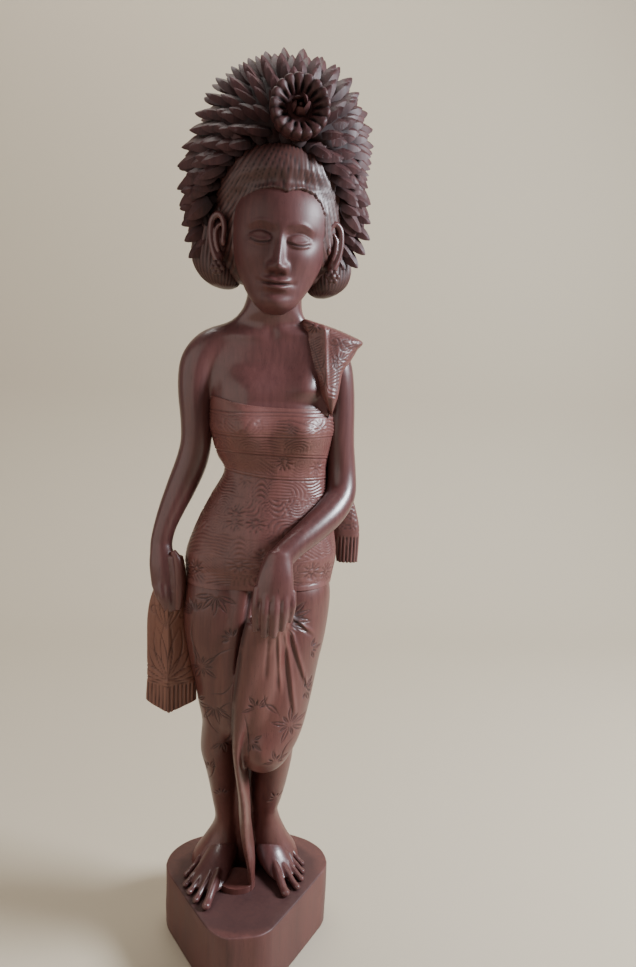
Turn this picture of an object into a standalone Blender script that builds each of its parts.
"""A carved wooden figure of a standing woman on a rounded block, cut from one piece of timber.

Metres, +Z up, origin under the middle of the block, the figure facing -Y.
The figure's pose and proportions are shares of its own height: one unit is 1/553 of it.
"""

import math

import bmesh
import bpy
import numpy as np
from mathutils import Matrix, Vector

# Driving dimensions, in metres
FIGURE_HEIGHT = 0.553  # top of the block to the highest leaf of the headdress
BLOCK_WIDTH = 0.120
BLOCK_DEPTH = 0.111
BLOCK_HEIGHT = 0.047
BLOCK_NOSE = 0.036  # width of the block's blunt front
BLOCK_NOSE_AT = -0.004  # the nose sits a little to the figure's right
BLOCK_CORNER = 0.008  # rounding of the block's upright corners
BLOCK_SHOULDER = 0.012  # how far behind the middle the straight sides end
BODY_GRAIN = 0.0014  # grain of the soft forms before they are simplified
HEAD_GRAIN = 0.0011
BODY_FACES = 3700  # faces kept on the body and on the head
HEAD_FACES = 1600

UNIT = FIGURE_HEIGHT / 553.0
RING_SIDES = 32
FINGER_SIDES = 12
WOOD_COLOUR = (0.105, 0.036, 0.020, 1.0)

# Level sections from below: x, y, z, half width, half depth
TRUNK = (
    (2, 8.5, 224, 50.5, 31),
    (3, 8.5, 236, 50.5, 31),
    (4, 9, 248, 49, 30),
    (6, 9, 266, 44, 26),
    (8, 9, 280, 39, 23),
    (11, 8, 297, 33.5, 20.5),
    (9, 8, 308, 36.5, 22),
    (8, 7, 327, 41, 24),
    (7, 8, 342, 40, 22),
    (5, 9, 358, 42, 18),
    (4, 9, 372, 44, 15),
    (4, 9, 383, 40, 13.5),
    (5, 9, 390, 31, 13),
    (5, 8, 396, 22.5, 13.5),
    (6, 7, 403, 18.5, 15),
    (7, 6, 412, 17.3, 15.5),
    (8, 5, 428, 17, 16),
)
RIGHT_LEG = (
    (-24, 23, -3, 18, 17),
    (-24, 23, 5, 16.5, 16),
    (-21, 24, 14, 13.5, 14),
    (-17.5, 25, 26, 9.5, 11.5),
    (-16.5, 24, 36, 8.4, 10.5),
    (-18, 22, 51, 9.2, 11.5),
    (-19.5, 20, 66, 10.2, 13.5),
    (-21, 17, 81, 11.5, 15.5),
    (-22.5, 14, 95, 13, 17.5),
    (-22.5, 11, 108, 12.7, 18.5),
    (-22.5, 8, 122, 12, 19),
    (-24, 7, 136, 13.2, 21),
    (-24.5, 7, 153, 15.8, 23.5),
    (-25, 7, 170, 19.2, 26),
    (-24.5, 7, 187, 22.8, 28.5),
    (-22.5, 8, 206, 26.5, 29.5),
    (-21, 9, 226, 27, 29.3),
    (-21, 9, 240, 24, 25),
)
LEFT_THIGH = (
    (8, -8, 94, 8, 9),
    (8.5, -9, 101, 14.5, 19),
    (9, -9, 110, 19.5, 25),
    (9.5, -8, 122, 24.5, 27.5),
    (12, -5, 136, 26, 28.5),
    (14.5, -2, 150, 26.5, 30),
    (17.5, 2, 168, 27, 31),
    (21.5, 5, 187, 27, 31),
    (23.5, 8, 206, 27.5, 30),
    (24, 9, 226, 27, 29.3),
    (24, 9, 240, 24, 25),
)
LEFT_SHIN = (
    (21.5, 25, -3, 17.5, 15.5),
    (20, 25, 8, 16, 14.5),
    (16, 25, 19, 13.2, 12.5),
    (13, 24, 32, 10.4, 10.5),
    (12, 22, 42, 9.2, 10.5),
    (12.5, 19, 52, 10.6, 12),
    (13.5, 16, 66, 12.5, 14),
    (15.5, 13, 82, 13, 16),
    (16, 11, 95, 14, 17.5),
    (15, 9, 106, 14.5, 18),
    (14, 8, 118, 15, 17.5),
    (14.5, 9, 136, 15, 17.5),
    (16, 9, 152, 15, 18),
    (17.5, 8, 172, 16, 19),
)
WEB = (
    (-4, 25, -3, 12, 9),
    (-4, 24, 20, 10, 8),
    (-4, 20, 50, 10, 8),
    (-4, 16, 90, 10, 10),
    (-4, 14, 130, 10, 12),
    (-2, 12, 180, 10, 14),
)
PLEAT = (
    (3, 3, -3, 3, 16),
    (3, 3, 5, 2.6, 16),
    (2.5, 2, 15, 3, 18),
    (0, 0, 31, 3.8, 20),
    (-2, -4, 47, 4, 21),
    (-3, -7, 62, 4.1, 21),
    (-4, -10, 77, 4, 20),
    (-6, -13, 91, 3.6, 19),
    (-8, -16, 105, 3.4, 18),
    (-9, -20, 120, 3.8, 15),
    (-7, -27, 140, 6.5, 9),
    (-3, -29, 165, 9.5, 8),
    (2, -32, 190, 11.5, 7),
    (8, -35, 208, 14, 5),
)
HELD_SCARF = (
    (-55, 0, 134, 2, 4),
    (-55, 0, 136.5, 10, 6),
    (-55, 0, 139.5, 17, 7.5),
    (-55, 0, 155, 16.2, 6.5),
    (-57.5, 1, 175, 14, 6),
    (-58.5, 1, 196, 13, 6.5),
    (-57.5, 1, 210, 12, 7),
    (-55.5, 1, 222, 10, 7),
    (-54.5, 1, 240, 6, 5),
)
BACK_SCARF = (
    (64, 27, 231, 7.5, 5),
    (63, 27, 245, 9, 5.5),
    (60.5, 27, 257, 11, 5.5),
    (55, 27, 272, 12.5, 5.5),
    (49, 27, 287, 13, 5.5),
    (46, 27, 310, 13, 5.5),
    (44, 26, 340, 14, 6),
    (44, 23, 365, 15, 7),
    (42, 18, 380, 16, 9),
    (36, 13, 391, 10, 9),
)
SHOULDER_SCARF = (
    (47.5, -9, 337, 1.6, 9),
    (45, -7, 348, 4, 9.5),
    (43, -3, 356, 7.3, 11),
    (41.5, 0, 364, 10.5, 12),
    (42.5, 3, 372, 15, 13),
    (43.5, 5, 378, 17.5, 13.5),
    (44.5, 6, 383, 20, 13.5),
    (41, 6, 387, 16, 12),
    (34, 6, 391.5, 10.5, 11),
    (27, 6, 395.5, 3, 7),
)
# Limbs along their own lines: x, y, z, half width, half depth
RIGHT_ARM = (
    (-10, 8, 383, 8, 8),
    (-24, 8, 381.5, 10, 10),
    (-34, 8, 376, 11.5, 12),
    (-41.5, 8, 365, 12, 13),
    (-42.7, 8, 350, 11.3, 12.5),
    (-41.7, 8, 334, 10.4, 11.5),
    (-41.2, 8.5, 317, 10.1, 11),
    (-44, 9, 302, 10.4, 10.5),
    (-50.5, 8.5, 285, 9.8, 9.6),
    (-57, 6, 269, 8.4, 8.4),
    (-61, 4, 257, 7.4, 7),
    (-62.8, 2.5, 246, 7.3, 6.2),
    (-62, 1, 237, 7.4, 5.8),
)
LEFT_ARM = (
    (20, 9, 381, 8, 9),
    (36, 9, 379, 10, 11),
    (46, 9, 372, 11, 12),
    (50, 9, 360, 11, 12),
    (51.5, 9.5, 345, 10.4, 11.2),
    (53, 10, 318, 9.8, 10.4),
    (55, 10, 298, 10, 10.4),
    (54.5, 5, 283, 10.4, 10.6),
    (47, -6, 273, 10.4, 10),
    (35, -17, 264, 9.6, 9.2),
    (23, -27, 256, 8.4, 8),
    (14, -34, 248, 8.2, 6.8),
)
RIGHT_PALM = ((-62.5, 1.5, 246, 7.2, 5.8), (-61.5, -1, 234, 8.4, 5.8), (-60, -3, 220, 8, 5))
LEFT_PALM = ((14.5, -33, 252, 8.2, 6.8), (12.5, -38, 240, 10.8, 6), (11.5, -40.5, 225, 12.4, 5))
# Fingers: root, middle joint, tip, half thickness
RIGHT_FINGERS = (
    ((-65.5, -3, 225), (-63.5, -5, 216), (-59.5, -4, 208), 2.8),
    ((-62, -5, 224), (-60.5, -7, 214), (-57.5, -6, 205), 2.8),
    ((-58, -5, 224), (-57, -7, 213), (-55.5, -6, 205), 2.7),
    ((-54.5, -3, 241), (-52, -5, 222), (-53, -5, 206), 3.2),
    ((-48.5, -2, 238), (-48.5, -4, 222), (-49.5, -4, 206), 3.2),
)
LEFT_FINGERS = (
    ((1.5, -40, 233), (0.5, -42, 220), (0.8, -41, 206), 2.9),
    ((6.8, -42, 229), (6.2, -44.5, 217), (6.2, -43, 203), 3.1),
    ((12.6, -42.5, 229), (12.2, -45, 217), (11.8, -43.5, 203), 3.1),
    ((18, -41.5, 229), (17.8, -44, 218), (17, -42.5, 207), 3.0),
    ((22.6, -39, 230), (22.8, -41.5, 221), (21.6, -40.5, 212), 2.8),
)
# Feet: heel to ball, then each toe's root, tip and half thickness, big toe first
RIGHT_FOOT = (
    (-15, 30, 6, 8, 9),
    (-18, 18, 9, 10, 11),
    (-23, 6, 8, 12.5, 9),
    (-28, -3, 5.5, 14, 7),
    (-30.5, -8, 4, 13, 5),
)
RIGHT_TOES = (
    (-21, -9, -27, -26.5, 4.2),
    (-27, -6, -34.2, -21.5, 3.4),
    (-31.5, -1, -39, -13.5, 3.2),
    (-35, 5, -42.2, -6, 3),
    (-38, 11, -43, 2.5, 2.8),
)
LEFT_FOOT = (
    (11, 31, 6, 8, 9),
    (14, 21, 10, 10.5, 12),
    (19, 11, 9, 12.5, 10),
    (24, 4, 6, 13, 7.5),
    (26, 1, 4, 12, 5.5),
)
LEFT_TOES = (
    (20, 0, 27, -16, 4.2),
    (26, 2, 35, -10.5, 3.4),
    (30, 7, 38, -2, 3.2),
    (33, 12, 39.5, 5.5, 3),
    (35, 18, 40, 14, 2.8),
)
FACE = (
    (0, -17, -40, 8, 6),
    (0, -15, -36, 13.5, 11),
    (0, -11, -28, 19, 17),
    (0, -7, -18, 24, 21.5),
    (0, -3, -6, 28, 26),
    (0, 0, 4, 29.5, 29),
    (0, 1, 16, 29.5, 30),
    (0, 4, 28, 27, 29),
    (0, 8, 38, 20, 24),
    (0, 10, 43, 13, 15),
)
HEAD_CENTRE = (8.5, 1.0, 441.0)
HEAD_TILT = math.radians(3.5)  # the crown leans to the figure's left
HEAD_NOD = math.radians(4.0)
# Relief pushed out of the smooth face: x, z, spread in x, spread in z, height
FACE_RELIEF = (
    (0, -14.5, 2.9, 3.2, 7.0),
    (0, -7, 2.2, 6.5, 4.6),
    (0, 2.5, 3, 5, 1.6),
    (-4.4, -15.8, 1.9, 2.1, 2.6),
    (4.4, -15.8, 1.9, 2.1, 2.6),
    (-12, 7.2, 7, 2.4, 1.6),
    (12, 7.2, 7, 2.4, 1.6),
    (-11.5, 1, 6, 3.6, -3.0),
    (11.5, 1, 6, 3.6, -3.0),
    (-11.8, -0.6, 4.4, 2.2, 2.6),
    (11.8, -0.6, 4.4, 2.2, 2.6),
    (0, -22.6, 5.2, 1.5, 2.8),
    (0, -27.2, 4.4, 1.6, 2.8),
    (0, -24.9, 7, 0.8, -1.2),
    (0, -31, 6, 2, -1.4),
    (0, -36, 6, 3.4, 1.8),
    (-15, -13, 6.5, 7, 1.4),
    (15, -13, 6.5, 7, 1.4),
)
# Hair and ears: centre, radii
HAIR_LUMPS = (
    ((8, 9, 457), (39.5, 37, 40)),
    ((7, 24, 448), (38, 17, 32)),
)
SIDE_HAIR = (
    ((-27, 12, 419, 7, 8), (-28.5, 12, 422, 12, 12), (-30.5, 13, 430, 15.5, 14),
     (-30, 13, 442, 16, 15), (-26, 13, 456, 14, 16), (-20, 12, 474, 10, 14)),
    ((39, 12, 415, 9, 8), (40, 12, 418, 13, 12), (40, 13, 427, 15.5, 14),
     (39, 13, 439, 15.5, 15), (36, 13, 456, 14, 16), (30, 12, 474, 10, 14)),
)
HAIR_ARCH = ((8, 456), (38, 39))  # leaves stop at this oval when seen from the front
EAR_LUMPS = (
    ((-28, -2, 439), (4.6, 4, 14)),
    ((41, -2, 437), (4.6, 4, 14)),
    ((-27, -4, 425), (4.6, 4.6, 4.6)),
    ((41, -4, 422), (4.6, 4.6, 4.6)),
)
CROWN_CENTRE = (6.0, 12.0, 486.0)
CROWN_RADII = (51.0, 38.0, 57.0)
CROWN_LEAN = 0.14  # sideways shift of the crown's upper half for each unit of height
CROWN_POLE = (0.15, -0.947, 0.277)  # towards the rosette, which the leaves radiate from
ROSETTE_CENTRE = (17.5, -30.0, 512.0)
ROSETTE_FACING = (0.10, -0.99, 0.06)
ROSETTE_PETALS = 16
# The rosette's half section: radius, height along its axis, depth of the flutes
ROSETTE_PROFILE = (
    (15, -12, 0), (17.5, -4, 0.6), (17.3, 0.5, 1.2), (15.2, 2.8, 1.4), (9.2, 0.6, 0.8), (7, -3, 0),
    (5.4, -2.6, 0), (4.8, 2.4, 0.6), (2.2, 3.8, 0),
)
# Rings of leaves: angle from the pole, leaves in a full turn, length, half width
LEAF_RINGS = (
    (20, 10, 19, 6.2),
    (32, 15, 20, 6.4),
    (45, 19, 21, 6.6),
    (59, 22, 22, 6.8),
    (74, 24, 22, 7.0),
    (90, 24, 22, 7.2),
    (107, 21, 21, 7.4),
    (126, 17, 21, 7.4),
    (147, 10, 20, 7.6),
)
ARCH_LEAVES = 16
ARCH_LEAF_LENGTH = 18
ARCH_TURN = math.radians(104)
LEAF_RIB = 3.2
LEAF_SPREAD = 0.5  # how far the leaves stand off the crown
LOWEST_LEAF = 433.0
# Soft swellings of the body: centre, spreads, push
SWELLINGS = (
    ((-13, -18, 326), (11, 14, 11), (0, -8, 0)),
    ((30, -18, 324), (11, 14, 11), (0, -8, 0)),
    ((8, -16, 262), (20, 12, 20), (0, -3, 0)),
    ((-20, 38, 214), (16, 14, 20), (0, 5, 0)),
    ((25, 38, 214), (16, 14, 20), (0, 5, 0)),
    ((-16, 24, 352), (11, 10, 15), (0, 2.5, 0)),
    ((28, 24, 352), (11, 10, 15), (0, 2.5, 0)),
    ((8, 32, 300), (4, 14, 55), (0, -2.5, 0)),
    ((6, -36, 114), (9, 9, 8), (0, -2.5, 0)),
    ((-21, 32, 90), (9, 9, 18), (0, 3.5, 0)),
    ((15, 30, 88), (9, 9, 18), (0, 3.5, 0)),
)
# Grooves cut along lines: from, to, half width, depth
GROOVES = (
    ((-3, -33, 222), (-8, -34, 190), 2.0, 5),
    ((-8, -34, 190), (-12, -32, 150), 2.0, 5),
    ((-12, -32, 150), (-13, -30, 118), 2.0, 5),
    ((21, -36, 205), (32, -28, 168), 1.6, 2.0),
    ((18, -36, 203), (24, -31, 150), 1.6, 2.2),
    ((23, -35, 207), (40, -24, 186), 1.5, 1.8),
    ((12, -38, 200), (10, -34, 160), 1.5, 2.0),
    ((23, 3, 398), (41, -14, 356), 1.2, 1.6),
    ((-55, -8, 196), (-55, -8, 140), 1.4, -1.6),
)


def clear_scene():
    for obj in list(bpy.data.objects):
        bpy.data.objects.remove(obj, do_unlink=True)


def smooth_rows(rows, steps):
    """The rows with steps - 1 more between neighbours, on a curve through them all."""
    rows = [Vector(row) for row in rows]
    ends = [rows[0] * 2 - rows[1], *rows, rows[-1] * 2 - rows[-2]]
    made = []
    for i in range(1, len(ends) - 2):
        a, b, c, d = ends[i - 1 : i + 3]
        for k in range(steps):
            t = k / steps
            bend = (a * 2 - b * 5 + c * 4 - d) * t**2 + (b * 3 - a - c * 3 + d) * t**3
            made.append((b * 2 + (c - a) * t + bend) * 0.5)
    made.append(rows[-1])
    return made


def add_loft(clay, rows, frame, level=True, up=(0, 1, 0), sides=RING_SIDES, steps=2):
    """A closed skin through oval rings. Each row is x, y, z, half width, half depth."""
    rows = smooth_rows(rows, steps)
    points = [Vector(row[:3]) for row in rows]
    previous = None
    for i, row in enumerate(rows):
        along = points[min(i + 1, len(rows) - 1)] - points[max(i - 1, 0)]
        along = Vector((0, 0, 1)) if level else along.normalized()
        across = Vector((1, 0, 0)) if level else Vector(up).cross(along).normalized()
        deep = along.cross(across)
        turn = Matrix((across * row[3], deep * row[4], along)).transposed().to_4x4()
        made = bmesh.ops.create_circle(
            clay,
            segments=sides,
            radius=1.0,
            cap_ends=i in (0, len(rows) - 1),
            matrix=frame @ Matrix.Translation(points[i]) @ turn,
        )
        ring = list({edge for vert in made["verts"] for edge in vert.link_edges})
        if previous:
            bmesh.ops.bridge_loops(clay, edges=previous + ring)
        previous = ring


def add_lump(clay, centre, radii, frame, sides=32):
    bmesh.ops.create_uvsphere(
        clay,
        u_segments=sides,
        v_segments=sides // 2,
        radius=1.0,
        matrix=frame @ Matrix.Translation(centre) @ Matrix.Diagonal((*radii, 1.0)),
    )


def figure_frame():
    return Matrix.Translation((0, 0, BLOCK_HEIGHT)) @ Matrix.Scale(UNIT, 4)


def head_frame():
    tilt = Matrix.Rotation(HEAD_TILT, 4, "Y") @ Matrix.Rotation(HEAD_NOD, 4, "X")
    return figure_frame() @ Matrix.Translation(HEAD_CENTRE) @ tilt


def add_fingers(clay, fingers, frame):
    for root, joint, tip, thick in fingers:
        rows = ((*root, thick, thick), (*joint, thick, thick), (*tip, thick * 0.8, thick * 0.8))
        add_loft(clay, rows, frame, level=False, sides=FINGER_SIDES)
        add_lump(clay, tip, [thick * 0.85] * 3, frame, sides=10)


def add_foot(clay, sole, toes, frame):
    add_loft(clay, sole, frame, level=False, up=(0, 0, 1))
    for root_x, root_y, tip_x, tip_y, thick in toes:
        root = Vector((root_x, root_y, thick * 1.3))
        tip = Vector((tip_x, tip_y, thick * 0.6))
        rows = (
            (*root, thick, thick * 1.1),
            (*root.lerp(tip, 0.55), thick * 0.95, thick),
            (*tip, thick * 0.9, thick * 0.9),
        )
        add_loft(clay, rows, frame, level=False, up=(0, 0, 1), sides=FINGER_SIDES)
        add_lump(clay, tip, (thick, thick, thick * 0.9), frame, sides=12)


def add_body(clay, frame):
    for rows in (TRUNK, RIGHT_LEG, LEFT_THIGH, LEFT_SHIN, WEB, PLEAT):
        add_loft(clay, rows, frame)
    for rows in (HELD_SCARF, BACK_SCARF, SHOULDER_SCARF):
        add_loft(clay, rows, frame)
    for rows in (RIGHT_ARM, LEFT_ARM, RIGHT_PALM, LEFT_PALM):
        add_loft(clay, rows, frame, level=False)
    add_lump(clay, (-8, -5, 1.5), (12, 8.5, 5), frame)
    add_fingers(clay, RIGHT_FINGERS + LEFT_FINGERS, frame)
    add_foot(clay, RIGHT_FOOT, RIGHT_TOES, frame)
    add_foot(clay, LEFT_FOOT, LEFT_TOES, frame)


def add_head(clay, frame):
    add_loft(clay, FACE, head_frame())
    for centre, radii in HAIR_LUMPS + EAR_LUMPS:
        add_lump(clay, centre, radii, frame)
    add_loft(clay, crown_rows(), frame, steps=1)
    for rows in SIDE_HAIR + (((7, 6, 405, 16, 14.5), (7, 6, 440, 16, 14.5)),):
        add_loft(clay, rows, frame)


def shape_body(points):
    """Swells and grooves the melted body; points are in figure units."""
    for centre, spread, push in SWELLINGS:
        away = (points - centre) / spread
        points += np.exp(-0.5 * (away**2).sum(axis=1))[:, None] * push
    for start, end, half_width, depth in GROOVES:
        start, along = np.array(start, float), np.subtract(end, start)
        share = np.clip((points - start) @ along / (along @ along), 0, 1)
        away = points - start - share[:, None] * along
        fade = np.exp(-0.5 * (away[:, 0] ** 2 + (away[:, 2] / 2) ** 2) / half_width**2)
        fade *= (np.abs(away[:, 1]) < 9) * np.minimum(1, 6 * share * (1 - share) + 0.4)
        points[:, 1] += fade * depth
    return points


def shape_head(points):
    """Raises the face's relief; points are in figure units."""
    to_face = np.array((figure_frame().inverted() @ head_frame()).inverted())
    local = points @ to_face[:3, :3].T + to_face[:3, 3]
    front = np.clip((-local[:, 1] - 6) / 8, 0, 1) * (local[:, 2] < 26)
    for x, z, spread_x, spread_z, height in FACE_RELIEF:
        away = ((local[:, 0] - x) / spread_x) ** 2 + ((local[:, 2] - z) / spread_z) ** 2
        points[:, 1] -= front * height * np.exp(-0.5 * away)
    return points


def new_object(name, bm, helper):
    mesh = bpy.data.meshes.new(name)
    bm.to_mesh(mesh)
    bm.free()
    obj = bpy.data.objects.new(name, mesh)
    bpy.context.scene.collection.objects.link(obj)
    if helper:
        obj.hide_render = True
        obj.display_type = "WIRE"
    return obj


def melt(name, fill, grain, shape, faces):
    """Soft forms melted into one skin, shaped and simplified to about a number of faces."""
    clay = bmesh.new()
    fill(clay, figure_frame())
    obj = new_object(name, clay, helper=True)
    remesh = obj.modifiers.new("melt", "REMESH")
    remesh.mode = "VOXEL"
    remesh.voxel_size = grain
    relax = obj.modifiers.new("relax", "SMOOTH")
    relax.factor = 0.5
    relax.iterations = 4
    depsgraph = bpy.context.evaluated_depsgraph_get()
    skin = bpy.data.meshes.new_from_object(obj.evaluated_get(depsgraph))
    obj.modifiers.clear()
    obj.data = skin
    flat = np.empty(len(skin.vertices) * 3)
    skin.vertices.foreach_get("co", flat)
    points = (flat.reshape(-1, 3) - (0, 0, BLOCK_HEIGHT)) / UNIT
    points = shape(points) * UNIT + (0, 0, BLOCK_HEIGHT)
    skin.vertices.foreach_set("co", points.ravel())
    fewer = obj.modifiers.new("fewer", "DECIMATE")
    fewer.ratio = faces / (2 * len(skin.polygons))
    return obj


def add_leaf(bm, root, tip, outward, half_width):
    """A pointed leaf with a raised rib."""
    across = (tip - root).cross(outward).normalized() * half_width
    middle = root + (tip - root) * 0.5
    high = bm.verts.new(middle + outward * LEAF_RIB * UNIT)
    rim = [bm.verts.new(point) for point in (root, middle - across, tip, middle + across)]
    for i in range(4):
        bm.faces.new((rim[i], rim[(i + 1) % 4], high))
    bm.faces.new((rim[0], rim[3], rim[1]))
    bm.faces.new((rim[2], rim[1], rim[3]))


def on_crown(direction, swell=1.0):
    """The crown's point in a direction: egg-shaped above, fuller below, leaning to the side."""
    x, y, z = direction
    if z < 0:
        fuller = (1 + z**3) ** (1 / 3) / max(math.hypot(x, y), 1e-6)
        x, y = x * fuller, y * fuller
    offset = Vector([a * b * swell for a, b in zip((x, y, z), CROWN_RADII)])
    offset.x += max(offset.z, 0) * CROWN_LEAN
    return Vector(CROWN_CENTRE) + offset


def crown_rows():
    rows = []
    for k in range(17):
        a = math.pi * (k / 16 - 0.5)
        side = on_crown((max(math.cos(a), 0.06), 0, math.sin(a)))
        middle = CROWN_CENTRE[0] + max(side.z - CROWN_CENTRE[2], 0) * CROWN_LEAN
        half = side.x - middle
        rows.append((middle, CROWN_CENTRE[1], side.z, half, half * CROWN_RADII[1] / CROWN_RADII[0]))
    return rows


def crown_point(pole, turn, swell=1.0):
    """A point on the crown: pole is the angle from the rosette, turn the way round it."""
    axis = Vector(CROWN_POLE).normalized()
    side = axis.cross((0, 0, 1)).normalized() * -1
    lift = side.cross(axis)
    around = side * math.sin(turn) + lift * math.cos(turn)
    return on_crown(axis * math.cos(pole) + around * math.sin(pole), swell)


def in_hair(point):
    """True where a leaf would be buried in the hair or hang below it."""
    (middle_x, middle_z), (wide, tall) = HAIR_ARCH
    inside = ((point.x - middle_x) / wide) ** 2 + ((point.z - middle_z) / tall) ** 2 < 1
    return inside and point.y < CROWN_CENTRE[1] or point.z < LOWEST_LEAF


def add_arch_leaves(bm, frame):
    """The leaves that fan out round the front of the hair."""
    (middle_x, middle_z), (wide, tall) = HAIR_ARCH
    for k in range(ARCH_LEAVES):
        a = ARCH_TURN * (2 * k / (ARCH_LEAVES - 1) - 1)
        x, z = middle_x + wide * math.sin(a), middle_z + tall * math.cos(a)
        across = (x - CROWN_CENTRE[0]) / CROWN_RADII[0]
        above = (z - CROWN_CENTRE[2]) / CROWN_RADII[2]
        bulge = math.sqrt(max(1 - across**2 - above**2, 0.1))
        root = Vector((x, CROWN_CENTRE[1] - CROWN_RADII[1] * bulge + 1.5, z))
        lean = Vector((math.sin(a), 0.35, math.cos(a))).normalized()
        up = (Vector((0, -1, 0)) + lean * lean.y).normalized()
        add_leaf(bm, frame @ root, frame @ (root + lean * ARCH_LEAF_LENGTH), up, LEAF_RINGS[0][3] * UNIT)


def make_leaves():
    bm = bmesh.new()
    frame = figure_frame()
    add_arch_leaves(bm, frame)
    for ring, (degrees, count, length, half_width) in enumerate(LEAF_RINGS):
        pole = math.radians(degrees)
        for k in range(count):
            turn = 2 * math.pi * (k + 0.5 * (ring % 2)) / count
            root = crown_point(pole, turn, 0.94)
            ahead = (crown_point(pole + 0.05, turn) - crown_point(pole, turn)).normalized()
            outward = (root - Vector(CROWN_CENTRE)).normalized()
            outward = (outward - ahead * outward.dot(ahead)).normalized()
            lean = (ahead + outward * LEAF_SPREAD).normalized()
            tip = root + lean * length
            if in_hair(tip):
                continue
            up = (outward - lean * outward.dot(lean)).normalized()
            add_leaf(bm, frame @ root, frame @ tip, up, half_width * UNIT)
    bmesh.ops.recalc_face_normals(bm, faces=bm.faces)
    return new_object("leaves", bm, helper=True)


def make_rosette():
    """The round flower over the forehead, as rings about its own axis."""
    bm = bmesh.new()
    facing = Vector(ROSETTE_FACING).to_track_quat("Z", "Y").to_matrix().to_4x4()
    frame = figure_frame() @ Matrix.Translation(ROSETTE_CENTRE) @ facing
    sides = 2 * ROSETTE_PETALS
    previous = None
    for i, (radius, height, flute) in enumerate(ROSETTE_PROFILE):
        matrix = frame @ Matrix.Translation((0, 0, height))
        capped = i in (0, len(ROSETTE_PROFILE) - 1)
        made = bmesh.ops.create_circle(bm, segments=sides, radius=radius, cap_ends=capped, matrix=matrix)
        dip = facing @ Vector((0, 0, -flute * UNIT))
        for vert in made["verts"][::2]:
            vert.co += dip
        ring = list({edge for vert in made["verts"] for edge in vert.link_edges})
        if previous:
            bmesh.ops.bridge_loops(bm, edges=previous + ring)
        previous = ring
    bmesh.ops.recalc_face_normals(bm, faces=bm.faces)
    return new_object("rosette", bm, helper=True)


def block_outline():
    """The block from above: a bowed back, and straight sides in to a blunt nose."""
    half_width, front = BLOCK_WIDTH / 2, -BLOCK_DEPTH / 2
    bow = BLOCK_DEPTH / 2 - BLOCK_SHOULDER
    rear = []
    for k in range(17):
        a = math.pi * k / 16
        rear.append((half_width * math.cos(a), BLOCK_SHOULDER + bow * math.sin(a) ** 0.7))
    left, right = BLOCK_NOSE_AT - BLOCK_NOSE / 2, BLOCK_NOSE_AT + BLOCK_NOSE / 2
    return rear + [(left, front + BLOCK_CORNER / 2), (left * 0.5, front), (right, front + BLOCK_CORNER / 3)]


def make_block(material):
    bm = bmesh.new()
    verts = [bm.verts.new((x, y, 0)) for x, y in block_outline()]
    bm.faces.new(verts)
    corners = [verts[0], verts[16], verts[17], verts[19]]
    bmesh.ops.bevel(bm, geom=corners, offset=BLOCK_CORNER, segments=4, profile=0.5, affect="VERTICES")
    made = bmesh.ops.extrude_face_region(bm, geom=list(bm.faces))
    lifted = [item for item in made["geom"] if isinstance(item, bmesh.types.BMVert)]
    bmesh.ops.translate(bm, vec=(0, 0, BLOCK_HEIGHT), verts=lifted)
    bmesh.ops.recalc_face_normals(bm, faces=bm.faces)
    block = new_object("carved_figure", bm, helper=False)
    block.data.materials.append(material)
    return block


def make_wood():
    wood = bpy.data.materials.new("dark_polished_wood")
    wood.use_nodes = True
    shader = wood.node_tree.nodes["Principled BSDF"]
    shader.inputs["Base Color"].default_value = WOOD_COLOUR
    shader.inputs["Roughness"].default_value = 0.38
    shader.inputs["Metallic"].default_value = 0.0
    return wood


def main():
    clear_scene()
    figure = make_block(make_wood())
    body = melt("body", add_body, BODY_GRAIN, shape_body, BODY_FACES)
    head = melt("head", add_head, HEAD_GRAIN, shape_head, HEAD_FACES)
    for helper in (body, head, make_leaves(), make_rosette()):
        join = figure.modifiers.new("join " + helper.name, "BOOLEAN")
        join.operation = "UNION"
        join.use_self = helper.name == "leaves"
        join.object = helper
    figure.data.shade_smooth()


main()
